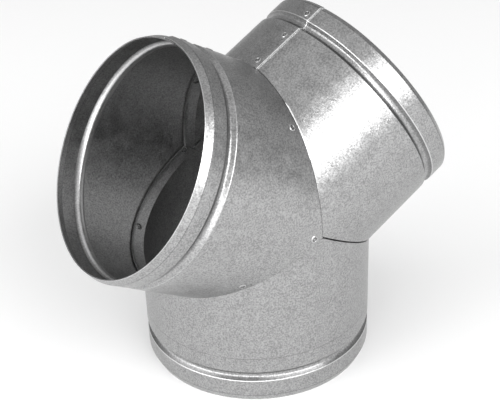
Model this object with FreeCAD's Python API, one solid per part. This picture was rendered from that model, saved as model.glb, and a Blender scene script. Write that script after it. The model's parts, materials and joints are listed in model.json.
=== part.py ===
import FreeCAD, Part
import math
import os
from FreeCAD import Vector

# Duct Y branch in galvanised sheet: three equal rolled tubes, mitred to one another where
# their axes cross. Millimetres, +Z up. The origin is the centre of the trunk's mouth, which
# stands on the floor, and the two branches spread to the left (-X) and to the right (+X).

# Sheet and tubes
TUBE_DIAMETER = 150.0    # outside of each plain tube
SHEET = 0.7              # thickness of the sheet
TRUNK_LENGTH = 112.0     # crossing of the axes to the trunk's mouth
BRANCH_LENGTH = 101.0    # crossing of the axes to a branch's mouth
BRANCH_TILT = 60.0       # each branch's axis, in degrees from straight up

# Mouths: a tapered lead-in, a plain band and a rolled bead
LEAD_LENGTH = 6.0        # tapered edge, along the tube
LEAD_DROP = 2.2          # what the taper takes off the radius
TRUNK_BEAD = 19.5        # trunk's mouth to the middle of its bead
BRANCH_BEAD = 17.5       # branch's mouth to the middle of its bead
BEAD_WIDTH = 8.0         # across the groove
BEAD_DEPTH = 2.5         # groove below the tube
BEAD_SHOULDER = 1.4      # bend at each side of the groove, on the outer skin

# Long seams: each tube's sheet laps under its own edge
LAP_WIDTH = 12.0         # sheet under sheet
LAP_BLEND = 30.0         # degrees over which the sheet sinks to pass under
LAP_OFFSET = 8.7         # branch: cut edge, round from the crotch line
LAP_GAP = 0.1            # between the two layers
TRUNK_LAP_ANGLE = 135.0  # trunk: its cut edge, at the back

# Mitre seams: the inner piece's sheet turns into a flange under the outer piece
FLANGE_REACH = 8.5       # past the mitre plane
FLANGE_SPLIT = 0.3       # between the ends of two flanges
FLANGE_GAP = 0.1         # flange to the sheet over it
JOGGLE = 1.2             # length of the step down to the flange
SEAM_GAP = 1.0           # outer piece's edge back from the mitre plane
BUTT_GAP = 0.1           # edge to edge, where a flange is notched
NOTCH_MARGIN = 1.5       # flange's notch past the lap it clears, in degrees

# Spot welds, as shallow marks
WELD_DIAMETER = 4.6
WELD_DEPTH = 0.25
LAP_WELD_INSET = 5.0     # behind the lap's cut edge
LAP_WELD_MOUTH = 10.0    # first one, from the mouth
LAP_WELD_BEAD = 12.0     # second one, past the middle of the bead
LAP_WELD_MITRE = 5.2     # last one, short of the mitre
# Seam welds on the outer pieces: degrees round the tube, distance from the mitre plane
LEFT_TRUNK_WELDS = ((-126.0, 4.0), (-91.5, 4.0), (92.0, 7.2), (139.0, 4.0))
LEFT_RIGHT_WELDS = ((-44.0, 4.8), (50.0, 4.8))
RIGHT_TRUNK_WELDS = ((0.0, 4.0), (45.0, 4.0))

RADIUS = TUBE_DIAMETER / 2
FLANGE_OUTER = RADIUS - SHEET - FLANGE_GAP
FLANGE_INNER = FLANGE_OUTER - SHEET
CROSSING = Vector(0, 0, TRUNK_LENGTH)
BIG = 4 * TUBE_DIAMETER
ORIGIN = Vector(0, 0, 0)
ALONG = Vector(0, 0, 1)
ACROSS = Vector(0, 1, 0)

# Directions in the XZ plane, in degrees from straight up towards +X: the three axes, and the
# mitre planes half-way between them. Each plane also holds the Y line through the crossing.
HALF_TURN = math.degrees(math.pi)
FULL_TURN = 2 * HALF_TURN
RIGHT = BRANCH_TILT
DOWN = HALF_TURN
LEFT = FULL_TURN - BRANCH_TILT
MITRE_TOP = FULL_TURN
MITRE_RIGHT = (RIGHT + DOWN) / 2
MITRE_LEFT = (DOWN + LEFT) / 2


def turned(shape, direction):
    """Places a shape drawn on +Z from the origin on the axis with that direction."""
    placed = shape.copy()
    placed.rotate(ORIGIN, ACROSS, direction)
    placed.translate(CROSSING)
    return placed


def slab(direction, low, high):
    """Space from low to high off the plane with that direction, measured towards a larger one."""
    return turned(Part.makeBox(high - low, 2 * BIG, 2 * BIG, Vector(low, -BIG, -BIG)), direction)


def past(direction, distance):
    return slab(direction, distance, BIG)


def short_of(direction, distance):
    return slab(direction, -BIG, -distance)


def kept(shape, *spaces):
    for space in spaces:
        shape = shape.common(space)
    return shape


def shell(direction, outer, inner):
    """Plain ring of wall round one axis, from the crossing outwards and a little past it."""
    tube = Part.makeCylinder(outer, 2 * TUBE_DIAMETER, Vector(0, 0, -TUBE_DIAMETER / 2), ALONG)
    hole = Part.makeCylinder(inner, 2 * TUBE_DIAMETER, Vector(0, 0, -TUBE_DIAMETER / 2), ALONG)
    return turned(tube.cut(hole), direction)


def arc(centre, radius, start, end):
    """Arc in the XZ plane from one angle to another, in degrees from +X towards +Z."""
    def at(angle):
        turn = math.radians(angle)
        return Vector(centre[0] + radius * math.cos(turn), 0, centre[1] + radius * math.sin(turn))
    return Part.Arc(at(start), at((start + end) / 2), at(end)).toShape()


def skin(length, bead, depth):
    """One skin of the sheet, depth below the outer one, from the mouth to past the crossing."""
    slope = math.atan2(LEAD_DROP, LEAD_LENGTH)
    half = BEAD_WIDTH / 2
    turn = 2 * math.atan2(BEAD_DEPTH, half)
    hollow = half / math.sin(turn) - BEAD_SHOULDER
    sweep = math.degrees(turn)
    middle = length - bead
    shoulder = RADIUS - BEAD_SHOULDER
    bottom = RADIUS - BEAD_DEPTH + hollow
    bends = [
        arc((shoulder, middle + half), BEAD_SHOULDER - depth, 0, -sweep),
        arc((bottom, middle), hollow + depth, HALF_TURN - sweep, HALF_TURN + sweep),
        arc((shoulder, middle - half), BEAD_SHOULDER - depth, sweep, 0),
    ]
    wall = RADIUS - depth
    mouth = Vector(RADIUS - LEAD_DROP - depth / math.cos(slope), 0, length)
    fold = Vector(wall, 0, length - LEAD_LENGTH - depth * math.tan(slope / 2))
    end = Vector(wall, 0, -SHEET)
    band = Part.makeLine(fold, Vector(wall, 0, middle + half))
    body = Part.makeLine(Vector(wall, 0, middle - half), end)
    return [Part.makeLine(mouth, fold), band] + bends + [body], mouth, end


def section(length, bead):
    """The sheet cut along the tube, in the XZ plane."""
    outer, outer_mouth, outer_end = skin(length, bead, 0)
    inner, inner_mouth, inner_end = skin(length, bead, SHEET)
    rim = Part.makeLine(outer_mouth, inner_mouth)
    tail = Part.makeLine(outer_end, inner_end)
    return Part.Face(Part.Wire(Part.__sortEdges__(outer + inner + [rim, tail])))


def spun(face, centre, angle):
    copy = face.copy()
    copy.rotate(centre, ALONG, angle)
    return copy


def rolled(face, edge):
    """Rolls a section into a tube whose end sinks, by two equal bends, under its own cut edge."""
    sink = SHEET + LAP_GAP
    half = LAP_BLEND / 2
    shift = sink / (2 * (1 - math.cos(math.radians(half))))
    back = ALONG * -1

    def toward(angle):
        return Vector(math.cos(math.radians(angle)), math.sin(math.radians(angle)), 0)

    first = toward(edge + LAP_BLEND) * shift
    second = toward(edge) * -shift
    start = spun(face, ORIGIN, edge)
    leaving = spun(face, ORIGIN, edge + LAP_BLEND)
    midway = spun(leaving, first, -half)
    sunk = spun(midway, second, -half)
    pieces = [
        start.revolve(ORIGIN, back, FULL_TURN - LAP_BLEND),
        leaving.revolve(first, back, half),
        midway.revolve(second, back, half),
        sunk.revolve(ORIGIN, back, math.degrees(LAP_WIDTH / RADIUS)),
    ]
    return pieces[0].fuse(pieces[1:])


def mitre_distance(angle, meeting):
    """Crossing to the mitre, along a tube's wall at that angle round it, where axes meet at meeting."""
    return RADIUS * abs(math.cos(math.radians(angle))) / math.tan(math.radians(meeting / 2))


def lap_places(length, bead, edge, meeting):
    """Welds along a tube's lap, as (angle, distance from the crossing)."""
    angle = edge - math.degrees(LAP_WELD_INSET / RADIUS)
    last = mitre_distance(angle, meeting) + LAP_WELD_MITRE
    return [(angle, length - LAP_WELD_MOUTH), (angle, length - bead - LAP_WELD_BEAD), (angle, last)]


def seam_places(welds, meeting):
    """Welds beside a mitre, as (angle, distance from the crossing)."""
    rise = math.sin(math.radians(meeting / 2))
    return [(angle, mitre_distance(angle, meeting) + inset / rise) for angle, inset in welds]


def weld_marks(direction, places):
    """Shallow round cuts into one tube's outer skin."""
    marks = []
    for angle, distance in places:
        foot = Vector(RADIUS - WELD_DEPTH, 0, distance)
        mark = Part.makeCylinder(WELD_DIAMETER / 2, 2 * WELD_DEPTH, foot, Vector(1, 0, 0))
        mark.rotate(ORIGIN, ALONG, angle)
        marks.append(turned(mark, direction))
    return marks


def flange(owner, taker, mitre):
    """Step and flange from the owner's tube into the taker's, each on its half of the mitre."""
    half = FLANGE_SPLIT / 2
    step = shell(owner, RADIUS - SHEET / 2, FLANGE_INNER)
    leaf = shell(taker, FLANGE_OUTER, FLANGE_INNER)
    if owner < mitre:
        step = kept(step, slab(mitre, -JOGGLE, 0), past(owner, half))
        leaf = kept(leaf, slab(mitre, 0, FLANGE_REACH), short_of(taker, half))
    else:
        step = kept(step, slab(mitre, 0, JOGGLE), short_of(owner, half))
        leaf = kept(leaf, slab(mitre, -FLANGE_REACH, 0), past(taker, half))
    return step, leaf


def lap_zone(direction, edge):
    """Wedge of a tube that holds its lap, where no flange can lie against it."""
    low = edge - math.degrees(LAP_WIDTH / RADIUS) - NOTCH_MARGIN
    high = edge + LAP_BLEND + NOTCH_MARGIN
    wedge = Part.makeCylinder(RADIUS, TUBE_DIAMETER, ORIGIN, ALONG, high - low)
    wedge.rotate(ORIGIN, ALONG, low)
    return turned(wedge, direction)


def tube(direction, length, bead, edge, first, first_gap, last, last_gap):
    """One rolled tube between its two mitres."""
    body = turned(rolled(section(length, bead), edge), direction)
    return kept(body, past(first, first_gap), short_of(last, last_gap))


left_lap = math.degrees(math.asin(LAP_OFFSET / RADIUS))
right_lap = HALF_TURN + left_lap
fork = LEFT - DOWN
spread = 2 * BRANCH_TILT

trunk = tube(DOWN, TRUNK_LENGTH, TRUNK_BEAD, TRUNK_LAP_ANGLE, MITRE_RIGHT, 0, MITRE_LEFT, 0)
trunk = trunk.fuse([*flange(DOWN, LEFT, MITRE_LEFT), *flange(DOWN, RIGHT, MITRE_RIGHT)])
trunk = trunk.cut(weld_marks(DOWN, lap_places(TRUNK_LENGTH, TRUNK_BEAD, TRUNK_LAP_ANGLE, fork)))

right = tube(RIGHT, BRANCH_LENGTH, BRANCH_BEAD, right_lap, MITRE_TOP, 0, MITRE_RIGHT, SEAM_GAP)
right_step, right_leaf = flange(RIGHT + FULL_TURN, LEFT, MITRE_TOP)
notch = lap_zone(LEFT, left_lap)
butt = kept(shell(RIGHT, RADIUS, RADIUS - SHEET), slab(MITRE_TOP, BUTT_GAP - SEAM_GAP, 0), notch)
right = right.fuse([right_step, right_leaf.cut(notch), butt])
right_places = lap_places(BRANCH_LENGTH, BRANCH_BEAD, right_lap, spread)
right_places += seam_places(RIGHT_TRUNK_WELDS, fork)
right = right.cut(weld_marks(RIGHT, right_places))

left = tube(LEFT, BRANCH_LENGTH, BRANCH_BEAD, left_lap, MITRE_LEFT, SEAM_GAP, MITRE_TOP, SEAM_GAP)
left_places = lap_places(BRANCH_LENGTH, BRANCH_BEAD, left_lap, spread)
left_places += seam_places(LEFT_TRUNK_WELDS, fork) + seam_places(LEFT_RIGHT_WELDS, spread)
left = left.cut(weld_marks(LEFT, left_places))

os.makedirs("parts", exist_ok=True)
for name, shape in (("trunk_tube", trunk), ("left_branch_tube", left), ("right_branch_tube", right)):
    solid = shape.removeSplitter()
    print(name, solid.ShapeType, len(solid.Solids), solid.isValid(), round(solid.Volume, 1), solid.BoundBox)
    if len(solid.Solids) != 1 or not solid.isValid():
        raise RuntimeError(name + " isn't one valid solid")
    solid.Solids[0].exportStep("parts/" + name + ".step")
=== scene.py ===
"""Looks of the duct Y branch: three rolled tubes of galvanised sheet, mitred and spot welded."""

import json
import math

import bpy
from bpy.props import FloatProperty, FloatVectorProperty, IntProperty, PointerProperty
from mathutils import Matrix, Vector


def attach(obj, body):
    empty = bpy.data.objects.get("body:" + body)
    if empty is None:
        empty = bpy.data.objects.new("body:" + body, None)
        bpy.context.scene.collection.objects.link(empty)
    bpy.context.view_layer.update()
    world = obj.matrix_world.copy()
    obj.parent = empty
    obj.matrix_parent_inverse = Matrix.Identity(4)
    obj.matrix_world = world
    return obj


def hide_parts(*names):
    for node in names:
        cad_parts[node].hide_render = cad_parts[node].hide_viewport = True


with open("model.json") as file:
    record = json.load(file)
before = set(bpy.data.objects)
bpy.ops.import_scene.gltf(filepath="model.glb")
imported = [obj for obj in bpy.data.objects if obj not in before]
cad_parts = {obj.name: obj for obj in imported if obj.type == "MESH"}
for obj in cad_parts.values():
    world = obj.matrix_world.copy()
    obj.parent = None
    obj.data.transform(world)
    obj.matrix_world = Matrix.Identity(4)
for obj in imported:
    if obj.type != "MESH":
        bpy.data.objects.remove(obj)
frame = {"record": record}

bl_info = {
    "name": "Duct Y branch",
    "version": (1, 0, 0),
    "blender": (4, 5, 0),
    "location": "3D View > Sidebar > Y branch",
    "description": "Builds a galvanised duct Y branch round its packed solids, with its studio",
    "category": "Object",
}

BODY = "root"
TURN = 2 * math.pi
MILLIMETRE = 0.001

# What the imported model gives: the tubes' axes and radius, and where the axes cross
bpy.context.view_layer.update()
COLLARS = {mount["name"]: mount for mount in frame["record"]["mounts"]}
RADIUS = COLLARS["trunk_collar"]["dims"]["r_mm"] * MILLIMETRE


def axes_crossing():
    """Point where a branch's axis meets the trunk's."""
    place = Vector(COLLARS["left_collar"]["pos_m"])
    axis = Vector(COLLARS["left_collar"]["axis"])
    return place - axis * (place.x / axis.x)


CROSSING = axes_crossing()

# Half of the angle between two neighbouring axes, which the mitre planes share out
HALF_MEETING = math.acos(-COLLARS["right_collar"]["axis"][2]) / 2


def length_prop(name, default, description):
    """Setting for a length in metres."""
    return FloatProperty(
        name=name, description=description, default=default, unit="LENGTH", precision=5)


def angle_prop(name, degrees, description):
    """Setting for an angle, which is given in degrees here."""
    return FloatProperty(
        name=name, description=description, default=math.radians(degrees), subtype="ANGLE")


def share_prop(name, default, description):
    """Setting for a share from nought to one."""
    return FloatProperty(
        name=name, description=description, default=default, subtype="FACTOR", min=0, max=1)


def colour_prop(name, default, description):
    """Setting for a colour."""
    return FloatVectorProperty(
        name=name, description=description, default=default, subtype="COLOR", min=0, max=1)


class SheetSizes(bpy.types.PropertyGroup):
    """The sheet, the shape of a mouth, and the seams."""

    thickness: length_prop("Sheet", 0.0007, "Thickness of the sheet")
    lead_length: length_prop("Lead-in length", 0.0048, "Tapered edge of a mouth, along the tube")
    right_lead: length_prop("Right lead-in length", 0.0026, "The same at the steeper right mouth")
    lead_drop: length_prop("Lead-in drop", 0.0022, "What the taper takes off the radius")
    fold_radius: length_prop("Fold radius", 0.002, "Bend between the taper and the band")
    bead_width: length_prop("Bead width", 0.008, "Across the rolled groove")
    bead_depth: length_prop("Bead depth", 0.0025, "Rolled groove below the tube")
    bead_wall: angle_prop("Bead wall", 48, "Lean of the groove's walls off the tube")
    bead_shoulder: length_prop("Bead shoulder", 0.0012, "Bend at the top of each wall")
    bead_root: length_prop("Bead root", 0.0022, "Bend at the foot of each wall")
    roller_line: length_prop(
        "Roller line", 0.0097, "Faint line that the beading left on the trunk, inboard of the bead")
    lap_width: length_prop("Lap", 0.012, "Sheet under sheet at a long seam")
    lap_blend: angle_prop(
        "Lap blend", 30, "Turn over which the sheet sinks to pass under its own edge")
    lap_offset: length_prop(
        "Branch lap offset", 0.0087, "Cut edge of a branch, round from the crotch line")
    trunk_lap: angle_prop("Trunk lap", 135, "Place of the trunk's cut edge, at its back")
    edge_width: length_prop("Lap edge", 0.0005, "Rolled-over strip along a lap's cut edge")
    edge_drop: length_prop("Lap edge drop", 0.0001, "How far that strip rolls over")
    layer_gap: length_prop("Layer gap", 0.0001, "Between two layers of sheet")
    flange_reach: length_prop("Flange", 0.0085, "Reach of a flange past its mitre")
    flange_lift: length_prop(
        "Flange lift", 0.0008, "Free edge of a flange off the sheet it lies under")
    top_opening: length_prop(
        "Crotch seam", 0.0004, "Left branch's edge back from the crotch mitre, at its widest")
    top_bend: length_prop(
        "Crotch bend", 0.0001, "Bend of the right branch's flange at the crotch, each side")
    top_growth: FloatProperty(
        name="Crotch bend growth", description="Times as wide as that bend is further round the seam",
        default=8.0)
    left_bend: length_prop(
        "Left bend", 0.00015, "Bend of the trunk's flange under the left branch")
    right_bend: length_prop(
        "Right bend", 0.0003, "Bend of the trunk's flange under the right branch")
    right_gap: length_prop(
        "Right seam", 0.0008, "Right branch's edge back from the trunk's mitre")
    right_drop: length_prop(
        "Right seam depth", 0.0015, "Drop of the trunk's flange under the right branch")
    edge_gap: length_prop(
        "Edge gap", 0.0001, "Outer piece's edge to the mitre where a seam is closed")
    columns: IntProperty(
        name="Columns", description="Faces round a tube", default=400, min=90)


class WeldSizes(bpy.types.PropertyGroup):
    """The spot welds and where they stand along a lap."""

    diameter: length_prop("Weld", 0.0054, "Across a spot weld's mark")
    rim: length_prop("Rim", 0.0005, "Height of the ring pushed up round a mark")
    lap_inset: length_prop("Inset", 0.005, "Behind a lap's cut edge")
    from_mouth: length_prop("First", 0.010, "First weld of a lap, from the mouth")
    past_bead: length_prop("Second", 0.012, "Second weld of a lap, past the middle of the bead")
    from_mitre: length_prop("Last", 0.0052, "Last weld of a lap, short of the mitre")
    seed: IntProperty(
        name="Seed", description="Varies the size from weld to weld", default=4)


class FinishColours(bpy.types.PropertyGroup):
    """Colours and grain of the metal."""

    zinc_dark: colour_prop("Zinc, dull", (0.26, 0.26, 0.261), "Darker grain of the zinc coat")
    zinc_light: colour_prop("Zinc, bright", (0.46, 0.46, 0.461), "Lighter grain of the zinc coat")
    # Also the colour that painted highlights on the zinc go towards
    cut_edge: colour_prop("Cut edge", (0.94, 0.94, 0.94), "Sheared edge of the sheet")
    grain: length_prop("Grain", 0.0010, "Size of the zinc's crystals")
    lean: share_prop("Lean", 0.08, "How far the crystals' faces lean off the sheet")
    roughness: share_prop("Roughness", 0.33, "Mean roughness of the zinc coat")


class StageSettings(bpy.types.PropertyGroup):
    """Camera, floor and light."""

    azimuth: angle_prop("Azimuth", -32.37, "Camera, round from the front")
    elevation: angle_prop("Elevation", 28.58, "Camera, above the horizon")
    roll: angle_prop("Roll", -2.14, "Camera, about its own line of sight")
    distance: length_prop("Distance", 0.68136, "Camera to the crossing of the axes")
    lens: FloatProperty(
        name="Lens", description="Focal length in millimetres, on a 36 mm sensor", default=76.16)
    shift: FloatVectorProperty(
        name="Shift", description="Camera's shift across and up", size=2,
        default=(-0.00586, -0.02124), precision=5)
    floor: colour_prop("Floor", (0.90, 0.90, 0.90), "Pale floor")
    backdrop: colour_prop("Backdrop", (0.42, 0.42, 0.42), "Light from all round")


class YBranchSettings(bpy.types.PropertyGroup):
    """Everything a user would change."""

    sheet: PointerProperty(type=SheetSizes)
    weld: PointerProperty(type=WeldSizes)
    finish: PointerProperty(type=FinishColours)
    stage: PointerProperty(type=StageSettings)


HALF_GRID = 0.5    # a unit grid's middle to its side


class Wiring:
    """Adds nodes to one tree and joins their sockets."""

    def __init__(self, tree):
        self.tree = tree

    def node(self, kind, inputs=None, **settings):
        """A node with its settings, and inputs by name or index as sockets or plain values."""
        made = self.tree.nodes.new(kind)
        for name, value in settings.items():
            setattr(made, name, value)
        for key, value in (inputs or {}).items():
            self.feed(made.inputs[key], value)
        return made

    def feed(self, socket, value):
        if isinstance(value, bpy.types.NodeSocket):
            self.tree.links.new(value, socket)
        else:
            socket.default_value = value

    def math(self, operation, first, second=0.0, third=0.0):
        made = self.node("ShaderNodeMath", {0: first, 1: second, 2: third}, operation=operation)
        return made.outputs[0]

    def plus(self, first, second):
        return self.math("ADD", first, second)

    def minus(self, first, second):
        return self.math("SUBTRACT", first, second)

    def times(self, first, second):
        return self.math("MULTIPLY", first, second)

    def over(self, first, second):
        return self.math("DIVIDE", first, second)

    def vector(self, operation, first, second=(0.0, 0.0, 0.0)):
        made = self.node("ShaderNodeVectorMath", {0: first, 1: second}, operation=operation)
        return made.outputs[0]

    def scaled(self, vector, scale):
        made = self.node("ShaderNodeVectorMath", {0: vector, "Scale": scale}, operation="SCALE")
        return made.outputs[0]

    def ranged(self, value, low, high, start=0.0, end=1.0, **settings):
        """A value moved from one range to another, and held inside it."""
        inputs = {"Value": value, "From Min": low, "From Max": high, "To Min": start, "To Max": end}
        return self.node("ShaderNodeMapRange", inputs, **settings).outputs[0]

    def eased(self, value, low, high, start, end):
        """The same with a soft start and end."""
        return self.ranged(value, low, high, start, end, interpolation_type="SMOOTHSTEP")

    def sampled(self, geometry, value, index, kind):
        """A point's value by its index."""
        made = self.node("GeometryNodeSampleIndex", data_type=kind, domain="POINT")
        self.feed(made.inputs["Geometry"], geometry)
        self.feed(made.inputs["Value"], value)
        self.feed(made.inputs["Index"], index)
        return made.outputs["Value"]

    def stored(self, geometry, name, value, kind, domain="POINT"):
        """Geometry with a named attribute."""
        inputs = {"Geometry": geometry, "Name": name, "Value": value}
        made = self.node("GeometryNodeStoreNamedAttribute", inputs, data_type=kind, domain=domain)
        return made.outputs[0]

    def unit_grid(self, across, along):
        """A grid with that many points each way, and the share of the way along both at a point."""
        inputs = {"Size X": 1.0, "Size Y": 1.0, "Vertices X": across, "Vertices Y": along}
        grid = self.node("GeometryNodeMeshGrid", inputs).outputs["Mesh"]
        place = self.node("GeometryNodeInputPosition").outputs[0]
        axes = self.node("ShaderNodeSeparateXYZ", {0: place}).outputs
        return grid, [self.plus(axes[axis], HALF_GRID) for axis in ("X", "Y")]


def new_tree(name, inputs):
    """A geometry tree with inputs named by kind, its wiring and its input sockets by name."""
    tree = bpy.data.node_groups.new(name, "GeometryNodeTree")
    tree.interface.new_socket("Geometry", in_out="INPUT", socket_type="NodeSocketGeometry")
    for kind, labels in inputs.items():
        for label in labels:
            tree.interface.new_socket(label, in_out="INPUT", socket_type=kind)
    tree.interface.new_socket("Geometry", in_out="OUTPUT", socket_type="NodeSocketGeometry")
    wiring = Wiring(tree)
    given = wiring.node("NodeGroupInput")
    return tree, wiring, given.outputs


def end_tree(wiring, geometry, material):
    """Closes a tree: real geometry, then its material."""
    real = wiring.node("GeometryNodeRealizeInstances", {0: geometry}).outputs[0]
    dressed = wiring.node("GeometryNodeSetMaterial", {"Geometry": real, "Material": material})
    wiring.node("NodeGroupOutput", {0: dressed.outputs[0]})


# Name of a per-point value: painted shade below zero, a painted highlight above it, and the trunk's
# real roller line
LIGHT_AND_WEAR = "wear"
ROLLED_SHEET = "Rolled sheet"
EDGE_COLUMNS = 4.0      # faces across the rolled-over edge of a lap
# Share of the way from crotch to side up to which a bend stays narrow, from which it has its
# full width, from which it narrows again, and from which it is narrow to the corner
BEND_NARROW = 0.14
BEND_WIDE = 0.17
BEND_CLOSING = 0.60
BEND_CLOSED = 0.80
ROLLED_INPUTS = {
    "NodeSocketInt": ("Columns",),
    "NodeSocketFloat": (
        "Start", "Span", "Blend", "Sink", "Edge width", "Edge drop", "Mitre angle", "Gap ahead",
        "Gap behind", "Opening ahead", "Bend growth", "Tilt", "Radius", "Bead"),
    "NodeSocketVector": ("Crossing",),
    "NodeSocketMaterial": ("Material",),
}


def rolled_sheet_tree():
    """Rolls a section into a tube's skin, lapped under its own edge and mitred at its inner end.

    The section's points are (radius, share of the mitre, distance past it), with the painted shade and
    highlight there, and the trunk's roller line.
    A distance below zero lies on the neighbouring tube, which is this one mirrored in the mitre
    plane. Bend growth widens what lies there, and the gap behind, along part of the seam."""
    tree = bpy.data.node_groups.get(ROLLED_SHEET)
    if tree:
        return tree
    tree, wiring, given = new_tree(ROLLED_SHEET, ROLLED_INPUTS)
    rows = wiring.node("GeometryNodeAttributeDomainSize", {0: given["Geometry"]}).outputs["Point Count"]
    grid, (share_of_rows, share_of_turn) = wiring.unit_grid(rows, given["Columns"])

    last_row = wiring.minus(rows, 1.0)
    row = wiring.math("ROUND", wiring.times(share_of_rows, last_row))
    place = wiring.node("GeometryNodeInputPosition").outputs[0]
    section_point = wiring.sampled(given["Geometry"], place, row, "FLOAT_VECTOR")
    point = wiring.node("ShaderNodeSeparateXYZ", {0: section_point}).outputs

    last_column = wiring.minus(given["Columns"], 1.0)
    column = wiring.math("ROUND", wiring.times(share_of_turn, last_column))
    edge_turn = wiring.over(given["Edge width"], given["Radius"])
    in_edge = wiring.over(wiring.math("MINIMUM", column, EDGE_COLUMNS), EDGE_COLUMNS)
    past_edge = wiring.math("MAXIMUM", wiring.minus(column, EDGE_COLUMNS), 0.0)
    plain_columns = wiring.minus(last_column, EDGE_COLUMNS)
    plain_share = wiring.over(past_edge, plain_columns)
    plain_turn = wiring.minus(given["Span"], edge_turn)
    turned_in_edge = wiring.times(in_edge, edge_turn)
    turned = wiring.math("MULTIPLY_ADD", plain_share, plain_turn, turned_in_edge)
    angle = wiring.minus(given["Start"], turned)
    to_edge = wiring.minus(1.0, in_edge)
    edge_curve = wiring.times(to_edge, to_edge)
    rolled_over = wiring.times(given["Edge drop"], edge_curve)
    # Painted shade and highlight of the section's row, with the roller line's mark
    section_light_and_wear = wiring.node("GeometryNodeInputNamedAttribute", {"Name": LIGHT_AND_WEAR}, data_type="FLOAT")
    wear = wiring.sampled(given["Geometry"], section_light_and_wear.outputs["Attribute"], row, "FLOAT")
    # Painted highlight along a lap's rolled-over edge, carried in the same value
    lapped = wiring.math("GREATER_THAN", given["Edge drop"], 0.0)
    highlighted = wiring.math("MINIMUM", wiring.times(to_edge, EDGE_COLUMNS), lapped)
    wear = wiring.math("MULTIPLY_ADD", highlighted, wiring.minus(1.0, wear), wear)
    leaving = wiring.minus(TURN, given["Blend"])
    sunk = wiring.eased(turned, leaving, TURN, 0.0, given["Sink"])
    lowered = wiring.plus(sunk, rolled_over)
    radius = wiring.minus(point["X"], lowered)
    x = wiring.times(radius, wiring.math("COSINE", angle))
    y = wiring.times(radius, wiring.math("SINE", angle))

    slope = wiring.over(1.0, wiring.math("TANGENT", given["Mitre angle"]))
    rise = wiring.times(x, slope)
    open_slope = wiring.plus(slope, given["Opening ahead"])
    ahead = wiring.math("MULTIPLY_ADD", x, open_slope, given["Gap ahead"])
    to_side = wiring.minus(1.0, wiring.math("ABSOLUTE", wiring.math("COSINE", angle)))
    opened = wiring.ranged(to_side, BEND_NARROW, BEND_WIDE, 1.0, given["Bend growth"])
    closing = wiring.ranged(to_side, BEND_CLOSING, BEND_CLOSED)
    widening = wiring.math("MULTIPLY_ADD", closing, wiring.minus(1.0, opened), opened)
    behind = wiring.minus(wiring.times(given["Gap behind"], widening), rise)
    mitre = wiring.math("MAXIMUM", ahead, behind)
    onward = wiring.math("MAXIMUM", point["Z"], 0.0)
    across_mitre = wiring.times(wiring.math("MINIMUM", point["Z"], 0.0), widening)
    whole_angle = wiring.times(given["Mitre angle"], 2.0)
    back = wiring.times(across_mitre, wiring.math("COSINE", whole_angle))
    aside = wiring.times(across_mitre, wiring.math("SINE", whole_angle))
    x = wiring.minus(x, wiring.times(aside, wiring.math("SIGN", x)))
    z = wiring.math("MULTIPLY_ADD", mitre, point["Y"], wiring.minus(onward, back))

    local = wiring.node("ShaderNodeCombineXYZ", {"X": x, "Y": y, "Z": z}).outputs[0]
    tilted = wiring.node("ShaderNodeVectorRotate", {"Vector": local, "Angle": given["Tilt"]},
                         rotation_type="Y_AXIS").outputs[0]
    placed = wiring.vector("ADD", tilted, given["Crossing"])
    flat = wiring.node("ShaderNodeCombineXYZ", {
        "X": wiring.times(turned, given["Radius"]),
        "Y": wiring.minus(given["Bead"], z)}).outputs[0]
    unrolled = wiring.stored(grid, "UVMap", flat, "FLOAT2", "CORNER")
    handled = wiring.stored(unrolled, LIGHT_AND_WEAR, wear, "FLOAT")
    rolled = wiring.node("GeometryNodeSetPosition", {
        "Geometry": handled, "Position": placed}).outputs[0]
    smooth = wiring.node("GeometryNodeSetShadeSmooth", {"Geometry": rolled}).outputs[0]
    end_tree(wiring, smooth, given["Material"])
    return tree


SPOT_WELD = "Spot weld marks"
WELD_INPUTS = {
    "NodeSocketFloat": ("Diameter", "Rim"),
    "NodeSocketInt": ("Seed",),
    "NodeSocketMaterial": ("Material",),
}
WELD_SHARE = "share_of_weld"
WELD_RINGS = 19
WELD_SIDES = 32
WELD_CREST = 0.70       # share of the radius at which the ring stands highest
WELD_MOAT = 0.32        # share of the radius at which the dish is lowest
WELD_FLOOR = 0.05       # share of the ring's height left there
WELD_BUTTON = 0.25      # share of the ring's height at the middle
WELD_ROOT = 0.12 * MILLIMETRE     # skirt below the sheet's skin
WELD_MERGE = 0.001 * MILLIMETRE   # points this near are one
WELD_SMALLEST = 0.88    # range of a mark's size, to the one that is set
WELD_LARGEST = 1.06
FACING = "facing"


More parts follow.
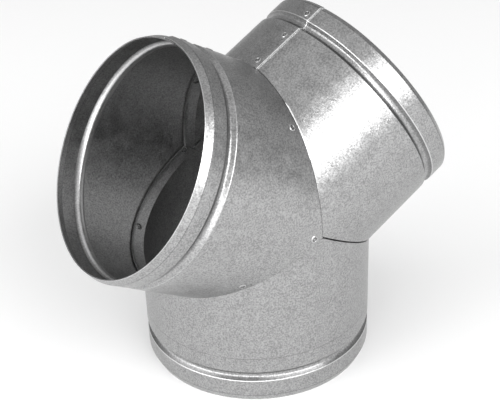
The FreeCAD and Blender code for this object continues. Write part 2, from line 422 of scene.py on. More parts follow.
def spot_weld_tree():
    """A dished mark with a raised ring, on each point, turned to face the way its sheet faces."""
    tree = bpy.data.node_groups.get(SPOT_WELD)
    if tree:
        return tree
    tree, wiring, given = new_tree(SPOT_WELD, WELD_INPUTS)
    grid, (share, share_of_turn) = wiring.unit_grid(WELD_RINGS, WELD_SIDES + 1)
    angle = wiring.times(share_of_turn, TURN)
    radius = wiring.over(given["Diameter"], 2.0)
    reach = wiring.times(share, radius)
    button = wiring.eased(share, 0.0, WELD_MOAT, WELD_BUTTON, 0.0)
    climb = wiring.eased(share, WELD_MOAT, WELD_CREST, WELD_FLOOR, 1.0)
    fall = wiring.eased(share, WELD_CREST, 1.0, 1.0, 0.0)
    swell = wiring.math("MULTIPLY_ADD", climb, fall, button)
    height = wiring.times(swell, given["Rim"])
    height = wiring.minus(height, wiring.times(share, WELD_ROOT))
    crater = wiring.node("ShaderNodeCombineXYZ", {
        "X": wiring.times(reach, wiring.math("COSINE", angle)),
        "Y": wiring.times(reach, wiring.math("SINE", angle)),
        "Z": height}).outputs[0]
    marked = wiring.stored(grid, WELD_SHARE, share, "FLOAT")
    formed = wiring.node("GeometryNodeSetPosition", {
        "Geometry": marked, "Position": crater}).outputs[0]
    closed = wiring.node("GeometryNodeMergeByDistance", {
        "Geometry": formed, "Distance": WELD_MERGE}).outputs[0]
    smooth = wiring.node("GeometryNodeSetShadeSmooth", {"Geometry": closed}).outputs[0]

    facing = wiring.node("GeometryNodeInputNamedAttribute", {"Name": FACING},
                         data_type="FLOAT_VECTOR").outputs["Attribute"]
    upright = wiring.node(
        "FunctionNodeAlignRotationToVector", {"Vector": facing}, axis="Z").outputs[0]
    size = wiring.node("FunctionNodeRandomValue", {"Seed": given["Seed"]}, data_type="FLOAT")
    wiring.feed(size.inputs[2], WELD_SMALLEST)
    wiring.feed(size.inputs[3], WELD_LARGEST)
    marks = wiring.node("GeometryNodeInstanceOnPoints", {
        "Points": given["Geometry"], "Instance": smooth, "Rotation": upright,
        "Scale": size.outputs[1]}).outputs[0]
    end_tree(wiring, marks, given["Material"])
    return tree


def linked(name, data):
    """A new object in the scene."""
    made = bpy.data.objects.new(name, data)
    bpy.context.scene.collection.objects.link(made)
    return made


def grown(name, mesh, tree, values):
    """Runs a geometry tree on a mesh, and gives back its result as a plain mesh."""
    carrier = linked(name, mesh)
    modifier = carrier.modifiers.new(tree.name, "NODES")
    modifier.node_group = tree
    for item in tree.interface.items_tree:
        if item.in_out == "INPUT" and item.name in values:
            modifier[item.identifier] = values[item.name]
    made = plain_mesh(carrier)
    made.materials.pop(index=0)    # the tree's own mesh starts with an empty slot
    return made


def plain_mesh(carrier):
    """The mesh that an object's modifiers make, with the object itself taken away."""
    bpy.context.view_layer.update()
    graph = bpy.context.evaluated_depsgraph_get()
    mesh = bpy.data.meshes.new_from_object(carrier.evaluated_get(graph))
    bpy.data.objects.remove(carrier)
    return mesh


RIM_SLOT = 1    # materials of a rolled sheet: skin, rim, lap's cut edge
CUT_SLOT = 2


def thickened(name, mesh, thickness, edge_material):
    """A skin made into sheet: wall grown inwards, cut edges in their own finish."""
    mesh.materials.append(edge_material)
    carrier = linked(name, mesh)
    wall = carrier.modifiers.new("Sheet", "SOLIDIFY")
    wall.thickness = thickness
    wall.offset = -1
    wall.use_even_offset = True
    wall.material_offset_rim = RIM_SLOT
    return plain_mesh(carrier)


SHARP_ANGLE = math.radians(40)


def joined(name, meshes):
    """One object at the origin from several meshes, with its folds and cut edges kept crisp."""
    objects = [linked(name, mesh) for mesh in meshes]
    first = objects[0]
    if len(objects) > 1:
        with bpy.context.temp_override(
                object=first, active_object=first, selected_objects=objects,
                selected_editable_objects=objects):
            bpy.ops.object.join()
    first.name = name
    first.data.name = name
    first.data.set_sharp_from_angle(angle=SHARP_ANGLE)
    return first


PAST_COLLAR = 6.0 * MILLIMETRE    # end of a collar's plain band to its mouth


def tilt_of(collar):
    """Turn about Y that lays +Z along a collar's axis."""
    axis = COLLARS[collar]["axis"]
    return math.atan2(axis[0], axis[2])


def mouth_distance(collar):
    """Crossing of the axes to a mouth."""
    pin = COLLARS[collar]
    middle = (Vector(pin["pos_m"]) - CROSSING).length
    return middle + pin["dims"]["length_mm"] * MILLIMETRE / 2 + PAST_COLLAR


def bead_distance(collar, sheet):
    """Crossing of the axes to the middle of a bead."""
    pin = COLLARS[collar]
    middle = (Vector(pin["pos_m"]) - CROSSING).length
    return middle - pin["dims"]["length_mm"] * MILLIMETRE / 2 - sheet.bead_width / 2


BODY_ROWS = 28
BEND_ROWS = 6


def bend(centre, radius, start, end):
    """Points along an arc of the section, as (radius, no mitre, distance)."""
    points = []
    for step in range(BEND_ROWS + 1):
        turn = start + (end - start) * step / BEND_ROWS
        out = radius * math.cos(turn)
        along = radius * math.sin(turn)
        points.append((centre[0] + out, 0.0, centre[1] + along))
    return points


ROLLER_WIDTH = 0.5 * MILLIMETRE    # half the line that the beading roller's guide left

# Painted light along the section: a painted highlight above zero, painted shade below. The trunk's
# roller line is a real mark, darkened the same way.
ROLLER_WEAR = -0.35
# Each side of a groove is a shoulder and a root, listed from the tube down to the groove's floor
# The groove's values are painted light: painted shade on its walls and roots, a painted highlight on
# its shoulders. At the left mouth the inner side gets a faint painted highlight and the outer side
# painted shade.
SHADED_WALL_SIDE = ((0.0, 0.1, 0.1, -0.2, -0.6, -0.8, -0.8), (-0.7, -0.4, -0.2, -0.1, 0.0, 0.0, 0.0))
HIGHLIT_SHOULDER_SIDE = ((0.0, 0.3, 0.6, 0.6, 0.2, -0.2, -0.6), (-0.3, -0.1, 0.0, 0.0, 0.0, 0.0, 0.0))
BRIGHT_SIDE = ((0.0, 0.1, 0.2, 0.2, 0.1, 0.0, 0.0), (0.0, 0.0, 0.0, -0.1, -0.2, -0.3, -0.4))
DARK_SIDE = ((-0.1, -0.5, -0.8, -0.8, -0.8, -0.8, -0.8), (-0.8, -0.8, -0.7, -0.6, -0.5, -0.5, -0.4))
GROOVE_SIDES = {
    "trunk_collar": (SHADED_WALL_SIDE, HIGHLIT_SHOULDER_SIDE),
    "left_collar": (BRIGHT_SIDE, DARK_SIDE),
    "right_collar": (SHADED_WALL_SIDE, HIGHLIT_SHOULDER_SIDE),
}
# Painted shade along the fold between the band and the lead-in
FOLD_SHADE = (0.0, -0.25, -0.45, -0.45, -0.35, -0.2, 0.0)
# Rows of the lead-in: share of its length, and the painted light there: a painted highlight along the
# mouth's edge
LEAD_SHARES = ((0.33, 0.0), (0.67, 0.0), (0.88, 0.0), (1.0, 0.6))


def with_light_and_wear(points, wear):
    """Points of the section, each with its value: painted shade and highlight, and the roller line's
    mark.
    """
    return [(*point, amount) for point, amount in zip(points, wear)]


def tube_section(collar, sheet):
    """Outer skin of a tube cut along its length, from its mitre to its mouth."""
    mouth = mouth_distance(collar)
    bead = bead_distance(collar, sheet)
    half = sheet.bead_width / 2
    lean = sheet.bead_wall
    bends = sheet.bead_shoulder + sheet.bead_root
    wall = (sheet.bead_depth - bends * (1 - math.cos(lean))) / math.sin(lean)
    level = half - bends * math.sin(lean) - wall * math.cos(lean)
    shoulder = RADIUS - sheet.bead_shoulder
    root = RADIUS - sheet.bead_depth + sheet.bead_root
    lead_length = sheet.right_lead if collar == "right_collar" else sheet.lead_length
    slope = math.atan2(sheet.lead_drop, lead_length)
    fold = mouth - lead_length - sheet.fold_radius * math.tan(slope / 2)
    line = bead - half - sheet.roller_line
    line_wear = ROLLER_WEAR if collar == "trunk_collar" else 0.0

    body = []
    for row in range(BODY_ROWS):
        share = 1 - row / BODY_ROWS
        body.append((RADIUS, share, (line - ROLLER_WIDTH) * (1 - share), 0.0))
    body += [
        (RADIUS, 0.0, line - ROLLER_WIDTH, 0.0),
        (RADIUS, 0.0, line, line_wear),
        (RADIUS, 0.0, line + ROLLER_WIDTH, 0.0),
    ]
    inner, outer = GROOVE_SIDES[collar]
    groove = with_light_and_wear(bend((shoulder, bead - half), sheet.bead_shoulder, 0, lean), inner[0])
    groove += with_light_and_wear(bend((root, bead - level), sheet.bead_root, math.pi + lean, math.pi), inner[1])
    groove += with_light_and_wear(bend((root, bead + level), sheet.bead_root, math.pi, math.pi - lean), outer[1][::-1])
    groove += with_light_and_wear(bend((shoulder, bead + half), sheet.bead_shoulder, -lean, 0), outer[0][::-1])
    turn_in = bend((RADIUS - sheet.fold_radius, fold), sheet.fold_radius, 0, slope)
    start = Vector(turn_in[-1])
    end = Vector((RADIUS - sheet.lead_drop, 0.0, mouth))
    lead = [(*start.lerp(end, share), wear) for share, wear in LEAD_SHARES]
    return body + groove + with_light_and_wear(turn_in, FOLD_SHADE) + lead


# A flange's bend: share of its drop and of its length past the mitre, row by row. Then its band:
# share of its reach, and of the lift at its free edge
FLANGE_BEND = ((0.15, -0.5), (0.50, 0.0), (0.85, 0.5), (1.0, 1.0))
FLANGE_BAND = ((0.55, 0.0), (0.8, 0.25), (1.0, 1.0))
BEND_HIDE = 0.02 * MILLIMETRE    # a bend's first row below its owner's skin
BEND_ROOT = 0.06 * MILLIMETRE    # length of that row under the owner's edge


def flange_section(sheet, turn_in, drop):
    """Outer skin of a flange: a bend that leaves the owner's sheet, then a band under its taker's.

    The bend starts turn_in short of the mitre, and ends as far past it, drop below the tube."""
    under = RADIUS - drop
    reach = sheet.flange_reach / math.sin(HALF_MEETING)
    start = RADIUS - BEND_HIDE
    rows = [(start, -turn_in - BEND_ROOT), (start, -turn_in)]
    rows += [(RADIUS - share * drop, way * turn_in) for share, way in FLANGE_BEND]
    rows += [(under - lift * sheet.flange_lift, share * reach) for share, lift in FLANGE_BAND]
    return [(radius, 1.0, past, 0.0) for radius, past in rows]


def section_mesh(name, section):
    """A line of edges along a section, with the painted light and marks of each point."""
    mesh = bpy.data.meshes.new(name)
    points = [point[:3] for point in section]
    mesh.from_pydata(points, [(i, i + 1) for i in range(len(points) - 1)], [])
    wear = mesh.attributes.new(LIGHT_AND_WEAR, "FLOAT", "POINT")
    wear.data.foreach_set("value", [point[3] for point in section])
    return mesh


FEWEST_COLUMNS = 8


def rolled_sheet(name, section, collar, start, span, gaps, sheet, **more):
    """One closed piece of sheet, rolled round a collar's axis, with more of the tree's inputs."""
    columns = max(FEWEST_COLUMNS, round(sheet.columns * span / TURN))
    sine = math.sin(HALF_MEETING)
    values = {
        "Columns": columns + 1,
        "Start": start,
        "Span": span,
        "Blend": sheet.lap_blend,
        "Sink": more.get("sink", 0.0),
        "Edge width": sheet.edge_width,
        "Edge drop": more.get("edge_drop", 0.0),
        "Mitre angle": HALF_MEETING,
        "Gap ahead": gaps[0] / sine,
        "Gap behind": gaps[1] / sine,
        "Opening ahead": more.get("opening", 0.0) / sine / RADIUS,
        "Bend growth": more.get("growth", 1.0),
        "Tilt": tilt_of(collar),
        "Crossing": CROSSING,
        "Radius": RADIUS,
        "Bead": bead_distance(collar, sheet),
        "Material": galvanised_sheet(),
    }
    skin = grown(name, section_mesh(name, section), rolled_sheet_tree(), values)
    return thickened(name, skin, sheet.thickness, dull_edge())


def rolled_tube(name, collar, edge, gaps, sheet, **more):
    """A whole tube, lapped under its own cut edge."""
    section = tube_section(collar, sheet)
    span = TURN + sheet.lap_width / RADIUS
    sink = sheet.thickness + sheet.layer_gap
    mesh = rolled_sheet(
        name, section, collar, edge, span, gaps, sheet, sink=sink, edge_drop=sheet.edge_drop, **more)
    brighten_lap_edge(mesh)
    highlight_ridge(mesh, collar, sheet)
    return mesh


LAP_HIGHLIGHT = 0.95       # painted highlight past which a rim face belongs to a lap's cut edge
# Painted highlight on the ridge a bead makes inside its tube
RIDGE_HIGHLIGHT = 0.35
HIGHLIGHT_FROM = 38.5 * MILLIMETRE    # painted highlight along this stretch of the crotch seam, forward of the axes
HIGHLIGHT_TO = 63.0 * MILLIMETRE


def brighten_lap_edge(mesh):
    """Gives a lap's cut edge, which carries a painted highlight all along, its own bright finish."""
    mesh.materials.append(cut_edge())
    wear = mesh.attributes[LIGHT_AND_WEAR].data
    for face in mesh.polygons:
        least = min(wear[corner].value for corner in face.vertices)
        if face.material_index == RIM_SLOT and least > LAP_HIGHLIGHT:
            face.material_index = CUT_SLOT


def highlight_ridge(mesh, collar, sheet):
    """Paints a highlight on the ridge that a bead makes inside its tube."""
    axis = Vector(COLLARS[collar]["axis"])
    bead = bead_distance(collar, sheet)
    flank = RADIUS - sheet.thickness - sheet.bead_depth / 2
    for vertex, wear in zip(mesh.vertices, mesh.attributes[LIGHT_AND_WEAR].data):
        offset = vertex.co - CROSSING
        along = offset.dot(axis)
        spoke = offset - axis * along
        faces_in = vertex.normal.dot(spoke) < 0
        if faces_in and abs(along - bead) < sheet.bead_width / 2 and spoke.length < flank:
            wear.value = RIDGE_HIGHLIGHT


def highlight_crotch(mesh, sheet):
    """Paints a highlight on the outside of the crotch seam's bend beside its front weld."""
    axis = Vector(COLLARS["right_collar"]["axis"])
    inside = RADIUS - sheet.thickness / 2
    for vertex, wear in zip(mesh.vertices, mesh.attributes[LIGHT_AND_WEAR].data):
        offset = vertex.co - CROSSING
        outside = (offset - axis * offset.dot(axis)).length > inside
        if outside and offset.x > BEND_HIDE and HIGHLIGHT_FROM < -offset.y < HIGHLIGHT_TO:
            wear.value = 1.0


# Turns round a tube: the corners where all three tubes meet, and what a flange stops short of
# them. The trunk's right flange goes past the back one, which it closes
FRONT_CORNER = -math.pi / 2
BACK_CORNER = math.pi / 2
FLANGE_END = math.radians(0.03)
CORNER_TAB = math.radians(1.6)
NOTCH_MARGIN = math.radians(1.5)    # notch in the crotch flange past the lap it clears


def flange(name, taker, start, end, section, sheet, **more):
    """A flange under its taker's sheet, from one angle round it down to another."""
    return rolled_sheet(name, section, taker, start, start - end, (0.0, 0.0), sheet, **more)


def left_lap(sheet):
    return math.asin(sheet.lap_offset / RADIUS)


def right_lap(sheet):
    return math.pi + left_lap(sheet)


def dress(piece, *nodes):
    """Fixes a finished piece to the part."""
    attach(piece, BODY)
    if nodes:
        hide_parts(*nodes)


def new_metal(name):
    """A new material with its wiring, its shader and the piece's own coordinates."""
    material = bpy.data.materials.new(name)
    material.use_nodes = True
    wiring = Wiring(material.node_tree)
    shader = material.node_tree.nodes["Principled BSDF"]
    shader.inputs["Metallic"].default_value = 1.0
    place = wiring.node("ShaderNodeTexCoord").outputs
    return material, wiring, shader, place


GRAIN_ROUGHNESS = 0.55


def grain_noise(wiring, place, size, detail=2.0):
    """Noise whose grains are about that many metres across."""
    inputs = {
        "Vector": place["Object"], "Scale": 1 / size, "Detail": detail, "Roughness": GRAIN_ROUGHNESS}
    return wiring.node("ShaderNodeTexNoise", inputs).outputs["Fac"]


def dimmed(colour, share):
    """That share of a colour."""
    return [share * part for part in colour]


def two_tones(wiring, share, dark, light, span):
    """A colour that goes from dark to light as share goes through a span."""
    ramp = wiring.node("ShaderNodeValToRGB", {"Fac": share})
    for end, position, colour in zip(ramp.color_ramp.elements, span, (dark, light)):
        end.position = position
        end.color = (*colour, 1)
    return ramp.outputs["Color"]


def mixed(wiring, share, first, second):
    """The first colour, with as much of the second as share gives from nought to one."""
    mix = wiring.node("ShaderNodeMix", data_type="RGBA")
    wiring.feed(mix.inputs[0], share)
    wiring.feed(mix.inputs[6], first)
    wiring.feed(mix.inputs[7], second)
    return mix.outputs[2]


CLOUD_SIZE = 7.0            # clouds in the zinc, in crystals
CLOUD_DETAIL = 3.0
CLOUD_RANGE = (0.3, 0.7)
CRYSTAL_SHARE = 0.82        # what crystals give to the mottle, where clouds give the rest
MOTTLE_RANGE = (0.36, 0.64)
SHADE_TONE = 0.3                 # how bright painted shade is, beside dull zinc
SMOOTHER = 0.04             # how far the zinc's roughness goes below its mean, and above it
ROUGHER = 0.06
NO_LEAN = (0.5, 0.5, 0.5)   # colour of a crystal that lies flat
WAVE_SIZE = 22.0 * MILLIMETRE
WAVE_DETAIL = 1.0
WAVE_HEIGHT = 0.22 * MILLIMETRE


def galvanised_sheet():
    """Zinc-coated sheet: fine crystals of two greys, slightly tilted, on gently wavy metal, darkened by
    painted shade and lightened by painted highlights.
    """
    name = "Galvanised sheet"
    if name in bpy.data.materials:
        return bpy.data.materials[name]
    finish = bpy.context.scene.y_branch.finish
    material, wiring, shader, place = new_metal(name)
    crystals = grain_noise(wiring, place, finish.grain)
    clouds = grain_noise(wiring, place, CLOUD_SIZE * finish.grain, CLOUD_DETAIL)
    cloudy = wiring.times(clouds, 1 - CRYSTAL_SHARE)
    mottle = wiring.math("MULTIPLY_ADD", crystals, CRYSTAL_SHARE, cloudy)
    tone = two_tones(wiring, mottle, finish.zinc_dark, finish.zinc_light, MOTTLE_RANGE)
    # Painted light: below zero the zinc goes towards painted shade, above zero towards a painted
    # highlight in the edge colour
    wear = wiring.node("ShaderNodeAttribute", attribute_name=LIGHT_AND_WEAR).outputs["Fac"]
    shade_colour = dimmed(finish.zinc_dark, SHADE_TONE)
    shaded = mixed(wiring, wiring.times(wear, -1.0), tone, (*shade_colour, 1))
    highlighted = mixed(wiring, wear, shaded, (*finish.cut_edge, 1))
    wiring.feed(shader.inputs["Base Color"], highlighted)
    rough = wiring.ranged(
        clouds, *CLOUD_RANGE, finish.roughness - SMOOTHER, finish.roughness + ROUGHER)
    wiring.feed(shader.inputs["Roughness"], rough)
    cells = wiring.node("ShaderNodeTexVoronoi", {
        "Vector": place["Object"], "Scale": 1 / finish.grain}).outputs["Color"]
    lean = wiring.scaled(wiring.vector("SUBTRACT", cells, NO_LEAN), finish.lean)
    level = wiring.node("ShaderNodeNewGeometry").outputs["Normal"]
    facets = wiring.vector("NORMALIZE", wiring.vector("ADD", level, lean))
    waves = grain_noise(wiring, place, WAVE_SIZE, WAVE_DETAIL)
    wavy = wiring.node("ShaderNodeBump", {
        "Distance": WAVE_HEIGHT, "Height": waves, "Normal": facets}).outputs[0]
    wiring.feed(shader.inputs["Normal"], wavy)
    return material


SHEAR_RANGE = (0.3, 0.7)
EDGE_ROUGHNESS = 0.5
BRIGHT_SHEAR = 2.0 * MILLIMETRE    # grain of a bright edge, and of a dull one
DULL_SHEAR = 0.9 * MILLIMETRE
BRIGHT_DIP = 0.9                   # how bright the darkest grain is, beside the lightest
DULL_DIP = 0.5


def edge_metal(name, light, dip, grain):
    """Sheared metal whose grain goes from a colour down to a share of it."""
    if name in bpy.data.materials:
        return bpy.data.materials[name]
    material, wiring, shader, place = new_metal(name)
    shear = grain_noise(wiring, place, grain)
    tones = two_tones(wiring, shear, dimmed(light, dip), light, SHEAR_RANGE)
    wiring.feed(shader.inputs["Base Color"], tones)
    shader.inputs["Roughness"].default_value = EDGE_ROUGHNESS
    return material


def cut_edge():
    """Sheared edge of a lap: bare metal, painted nearly white as a painted highlight."""
    bright = bpy.context.scene.y_branch.finish.cut_edge
    return edge_metal("Cut edge", bright, BRIGHT_DIP, BRIGHT_SHEAR)


def dull_edge():
    """Edge of a mouth or a seam, in dull grey."""
    grey = bpy.context.scene.y_branch.finish.zinc_dark
    return edge_metal("Dull edge", grey, DULL_DIP, DULL_SHEAR)


INNER_SHADE = 0.45           # painted shade: how bright a weld's inner mark is left inside the tube, beside its outer one
BURNT = 0.5             # its moat, beside dull zinc
POLISHED = 1.3          # its ring, beside bright zinc
SMEAR_SIZE = 1.1 * MILLIMETRE
SMEAR_DETAIL = 3.0
SMEAR_MEAN = 0.5
SMEAR_REACH = 0.45      # how far a smear shifts the rings, as a share of the radius
WELD_ROUGHNESS = 0.28
BUTTON_END = 0.05       # shares of the radius at which the tones lie
MOAT_START = 0.28
MOAT_END = 0.48
RING_TOP = 0.72
RING_END = 0.98


def weld_metal(name, brightness):
    """Zinc burnt and smeared by a spot weld, with that share of its brightness left; a share below one
    is painted shade.
    """
    finish = bpy.context.scene.y_branch.finish
    material, wiring, shader, place = new_metal(name)
    burnt = dimmed(finish.zinc_dark, BURNT * brightness)
    plain = dimmed(finish.zinc_light, brightness)
    bright = dimmed(finish.zinc_light, POLISHED * brightness)
    share = wiring.node("ShaderNodeAttribute", attribute_name=WELD_SHARE).outputs["Fac"]
    smear = grain_noise(wiring, place, SMEAR_SIZE, SMEAR_DETAIL)
    shift = wiring.minus(smear, SMEAR_MEAN)
    uneven = wiring.math("MULTIPLY_ADD", shift, SMEAR_REACH, share)
    ramp = wiring.node("ShaderNodeValToRGB", {"Fac": uneven})
    stops = (
        (BUTTON_END, plain),
        (MOAT_START, burnt),
        (MOAT_END, burnt),
        (RING_TOP, bright),
        (RING_END, finish.zinc_dark),
    )
    elements = ramp.color_ramp.elements
    for index, (position, colour) in enumerate(stops):
        stop = elements[index] if index < len(elements) else elements.new(position)
        stop.position = position
        stop.color = (*colour, 1)
    wiring.feed(shader.inputs["Base Color"], ramp.outputs["Color"])
    shader.inputs["Roughness"].default_value = WELD_ROUGHNESS
    return material


class YBRANCH_OT_trunk(bpy.types.Operator):
    """Rolls the trunk, with the flanges it turns under both branches"""

    bl_idname = "ybranch.trunk"
    bl_label = "Trunk"

    def execute(self, context):
        sheet = context.scene.y_branch.sheet
        gaps = (sheet.left_bend, sheet.right_bend)
        left = flange_section(sheet, sheet.left_bend, sheet.thickness + sheet.layer_gap)
        right = flange_section(sheet, sheet.right_bend, sheet.right_drop)
        meshes = [
            rolled_tube("trunk", "trunk_collar", sheet.trunk_lap, gaps, sheet),
            flange("trunk_left_flange", "left_collar", FRONT_CORNER + TURN - FLANGE_END,
                   BACK_CORNER + FLANGE_END, left, sheet),
            flange("trunk_right_flange", "right_collar", BACK_CORNER + CORNER_TAB,
                   FRONT_CORNER + FLANGE_END, right, sheet),
        ]
        dress(joined("trunk_sheet", meshes), "trunk_tube")
        return {"FINISHED"}


class YBRANCH_OT_left_branch(bpy.types.Operator):
    """Rolls the left branch, whose edge lies over both its neighbours"""

    bl_idname = "ybranch.left_branch"
    bl_label = "Left branch"

    def execute(self, context):
        sheet = context.scene.y_branch.sheet
        gaps = (sheet.edge_gap, sheet.edge_gap - sheet.left_bend)
        mesh = rolled_tube(
            "left_branch", "left_collar", left_lap(sheet), gaps, sheet, opening=sheet.top_opening)
        dress(joined("left_branch_sheet", [mesh]), "left_branch_tube")
        return {"FINISHED"}


class YBRANCH_OT_right_branch(bpy.types.Operator):
    """Rolls the right branch, over the trunk's flange, with its own flange under the left branch"""

    bl_idname = "ybranch.right_branch"
    bl_label = "Right branch"

    def execute(self, context):
        sheet = context.scene.y_branch.sheet
        lap = left_lap(sheet)
        notch_low = lap - sheet.lap_width / RADIUS - NOTCH_MARGIN
        notch_high = lap + sheet.lap_blend + NOTCH_MARGIN
        gaps = (sheet.right_gap, sheet.top_bend)
        section = flange_section(sheet, sheet.top_bend, sheet.thickness + sheet.layer_gap)
        butt_length = (sheet.top_opening + sheet.top_bend) / math.sin(HALF_MEETING)
        butt = [(RADIUS, 1.0, 0.0, 0.0), (RADIUS, 1.0, butt_length, 0.0)]
        front = flange("right_front_flange", "left_collar", notch_low,
                       FRONT_CORNER + FLANGE_END, section, sheet, growth=sheet.top_growth)
        highlight_crotch(front, sheet)
        meshes = [
            rolled_tube("right_branch", "right_collar", right_lap(sheet), gaps, sheet,
                        growth=sheet.top_growth),
            front,
            flange("right_back_flange", "left_collar", BACK_CORNER - FLANGE_END,
                   notch_high, section, sheet, growth=sheet.top_growth),
            rolled_sheet("right_butt", butt, "right_collar", math.pi - notch_low,
                         notch_high - notch_low, (0.0, -sheet.top_opening), sheet),
        ]
        dress(joined("right_branch_sheet", meshes), "right_branch_tube")
        return {"FINISHED"}


# Welds beside the mitre seams: turn round the outer piece in degrees, millimetres from the mitre
LEFT_TRUNK_WELDS = ((-126.0, 4.0), (-91.5, 4.0), (92.3, 5.6), (139.0, 4.0))
LEFT_RIGHT_WELDS = ((-44.0, 4.8), (50.0, 4.8))
RIGHT_TRUNK_WELDS = ((0.0, 4.0), (45.0, 4.0))


def mitre_distance(angle):
    """Crossing of the axes to the mitre, along the wall at that angle round a tube."""
    return RADIUS * abs(math.cos(angle)) / math.tan(HALF_MEETING)


def lap_welds(collar, edge, sheet, weld):
    """Welds along a lap, as (angle, distance from the crossing)."""
    angle = edge - weld.lap_inset / RADIUS
    return [
        (angle, mouth_distance(collar) - weld.from_mouth),
        (angle, bead_distance(collar, sheet) - weld.past_bead),
        (angle, mitre_distance(angle) + weld.from_mitre),
    ]


def seam_welds(places):
    """Welds beside a mitre, as (angle, distance from the crossing)."""
    rise = math.sin(HALF_MEETING)
    found = []
    for degrees, inset in places:
        angle = math.radians(degrees)
        found.append((angle, mitre_distance(angle) + inset * MILLIMETRE / rise))
    return found


def weld_marks(name, plan, radius, side, metal, weld):
    """Marks for all the welds of a plan on one skin, facing out of the tube or, at -1, into it."""
    places = []
    facings = []
    for collar, welds in plan.items():
        tilt = Matrix.Rotation(tilt_of(collar), 3, "Y")
        for angle, distance in welds:
            out = Vector((math.cos(angle), math.sin(angle), 0.0))
            places.append(CROSSING + tilt @ (out * radius + Vector((0.0, 0.0, distance))))
            facings.append(tilt @ out * side)
    mesh = bpy.data.meshes.new(name)
    mesh.from_pydata(places, [], [])
    facing = mesh.attributes.new(FACING, "FLOAT_VECTOR", "POINT")
    facing.data.foreach_set("vector", [number for way in facings for number in way])
    values = {"Diameter": weld.diameter, "Rim": weld.rim, "Seed": weld.seed, "Material": metal}
    return grown(name, mesh, spot_weld_tree(), values)


class YBRANCH_OT_spot_welds(bpy.types.Operator):
    """Sets a mark for each spot weld, on the outside and on the inside of the sheets it joins"""

    bl_idname = "ybranch.spot_welds"
    bl_label = "Spot welds"

    def execute(self, context):
        sheet = context.scene.y_branch.sheet
        weld = context.scene.y_branch.weld
        plan = {
            "trunk_collar": lap_welds("trunk_collar", sheet.trunk_lap, sheet, weld),
            "left_collar": lap_welds("left_collar", left_lap(sheet), sheet, weld)
            + seam_welds(LEFT_TRUNK_WELDS + LEFT_RIGHT_WELDS),
            "right_collar": lap_welds("right_collar", right_lap(sheet), sheet, weld)
            + seam_welds(RIGHT_TRUNK_WELDS),
        }
        inner = RADIUS - 2 * sheet.thickness - sheet.layer_gap
        meshes = [
            weld_marks("outer_welds", plan, RADIUS, 1, weld_metal("Weld mark", 1.0), weld),
            # Inner marks are the outer ones' material, dimmed as painted shade
            weld_marks("inner_welds", plan, inner, -1, weld_metal("Scorched weld mark", INNER_SHADE), weld),
        ]
        dress(joined("spot_welds", meshes))
        return {"FINISHED"}


FLOOR_RADIUS = 6.0
FLOOR_SIDES = 96
FLOOR_ROUGHNESS = 0.9


def floor_paint(colour):
    """Pale matt floor."""
    material = bpy.data.materials.new("Pale floor")
    material.use_nodes = True
    shader = material.node_tree.nodes["Principled BSDF"]
    shader.inputs["Base Color"].default_value = (*colour, 1)
    shader.inputs["Roughness"].default_value = FLOOR_ROUGHNESS
    shader.inputs["Specular IOR Level"].default_value = 0.0
    return material


def direction(turn, height):
    """Way from the part at a turn from the front towards the right, and a height."""
    level = math.cos(height)
    return Vector((math.sin(turn) * level, -math.cos(turn) * level, math.sin(height)))


LAMP_DISTANCE = 3.0
# Soft lamps: turn from the front towards the right, height, width and depth as the part sees
# them, all in degrees, and the radiance of their cloth
SOFTBOXES = (
    ("front softbox", 0.0, 20.0, 54.0, 16.0, 4.7),
    ("upper softbox", 10.0, 38.0, 45.0, 20.0, 4.5),
    ("right softbox", 76.0, 16.0, 40.0, 22.0, 0.15),
    ("left softbox", -62.0, 14.0, 70.0, 28.0, 3.4),
    ("far left softbox", -104.0, 28.0, 44.0, 50.0, 2.0),
    ("overhead softbox", 0.0, 86.0, 80.0, 80.0, 0.35),
)


def softbox(name, turn, height, width, depth, radiance):
    """A rectangular lamp that looks at the crossing of the axes."""
    out = direction(math.radians(turn), math.radians(height))
    lamp = bpy.data.lights.new(name, "AREA")
    lamp.shape = "RECTANGLE"
    lamp.size = 2 * LAMP_DISTANCE * math.tan(math.radians(width / 2))
    lamp.size_y = 2 * LAMP_DISTANCE * math.tan(math.radians(depth / 2))
    lamp.energy = math.pi * lamp.size * lamp.size_y * radiance
    made = linked(name, lamp)
    made.location = CROSSING + out * LAMP_DISTANCE
    made.rotation_euler = out.to_track_quat("Z", "Y").to_euler()
    made.visible_camera = False


NEAREST = 0.01    # camera's near limit


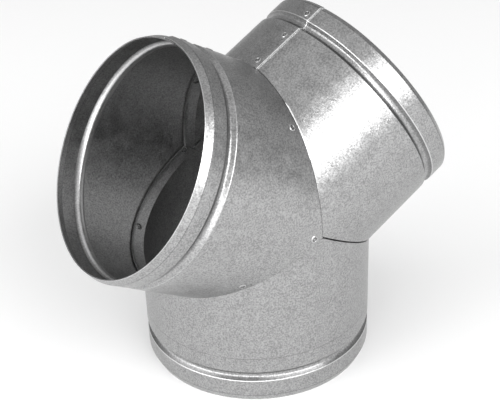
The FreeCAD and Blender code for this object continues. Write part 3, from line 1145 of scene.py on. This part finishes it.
class YBRANCH_OT_stage(bpy.types.Operator):
    """Sets the floor, the light and the camera"""

    bl_idname = "ybranch.stage"
    bl_label = "Stage"

    def execute(self, context):
        scene = context.scene
        stage = scene.y_branch.stage
        self.lay_floor(stage)
        self.light(scene, stage)
        self.set_camera(scene, stage)
        scene.view_settings.view_transform = "Standard"
        return {"FINISHED"}

    def lay_floor(self, stage):
        ring = []
        for side in range(FLOOR_SIDES):
            turn = TURN * side / FLOOR_SIDES
            ring.append((FLOOR_RADIUS * math.cos(turn), FLOOR_RADIUS * math.sin(turn), 0.0))
        mesh = bpy.data.meshes.new("floor")
        mesh.from_pydata(ring, [], [tuple(range(FLOOR_SIDES))])
        mesh.materials.append(floor_paint(stage.floor))
        floor = linked("floor", mesh)

    def light(self, scene, stage):
        world = bpy.data.worlds.new("Studio")
        world.use_nodes = True
        backdrop = world.node_tree.nodes["Background"]
        backdrop.inputs["Color"].default_value = (*stage.backdrop, 1)
        scene.world = world
        for lamp in SOFTBOXES:
            softbox(*lamp)

    def set_camera(self, scene, stage):
        back = direction(stage.azimuth, stage.elevation)
        right = Vector((math.cos(stage.azimuth), math.sin(stage.azimuth), 0.0))
        level = Matrix((right, back.cross(right), back)).transposed()
        rolled = level @ Matrix.Rotation(stage.roll, 3, "Z")
        lens = bpy.data.cameras.new("camera")
        lens.lens = stage.lens
        lens.shift_x, lens.shift_y = stage.shift
        lens.clip_start = NEAREST
        camera = linked("camera", lens)
        stand = Matrix.Translation(CROSSING + back * stage.distance)
        camera.matrix_world = stand @ rolled.to_4x4()
        scene.camera = camera


class YBRANCH_PT_panel(bpy.types.Panel):
    """Lists what builds the Y branch, and its settings"""

    bl_idname = "YBRANCH_PT_panel"
    bl_label = "Duct Y branch"
    bl_space_type = "VIEW_3D"
    bl_region_type = "UI"
    bl_category = "Y branch"

    def draw(self, context):
        for step in STEPS:
            self.layout.operator(step.bl_idname)
        settings = context.scene.y_branch
        for group in (settings.sheet, settings.weld, settings.finish, settings.stage):
            box = self.layout.box()
            for name in group.__annotations__:
                box.prop(group, name)


STEPS = (
    YBRANCH_OT_trunk,
    YBRANCH_OT_left_branch,
    YBRANCH_OT_right_branch,
    YBRANCH_OT_spot_welds,
    YBRANCH_OT_stage,
)
CLASSES = (
    SheetSizes, WeldSizes, FinishColours, StageSettings, YBranchSettings, *STEPS, YBRANCH_PT_panel)


def register():
    for each in CLASSES:
        bpy.utils.register_class(each)
    bpy.types.Scene.y_branch = PointerProperty(type=YBranchSettings)


def unregister():
    del bpy.types.Scene.y_branch
    for each in reversed(CLASSES):
        bpy.utils.unregister_class(each)


def main():
    register()
    bpy.ops.ybranch.trunk()
    bpy.ops.ybranch.left_branch()
    bpy.ops.ybranch.right_branch()
    bpy.ops.ybranch.spot_welds()
    bpy.ops.ybranch.stage()


if __name__ == "__main__":
    main()
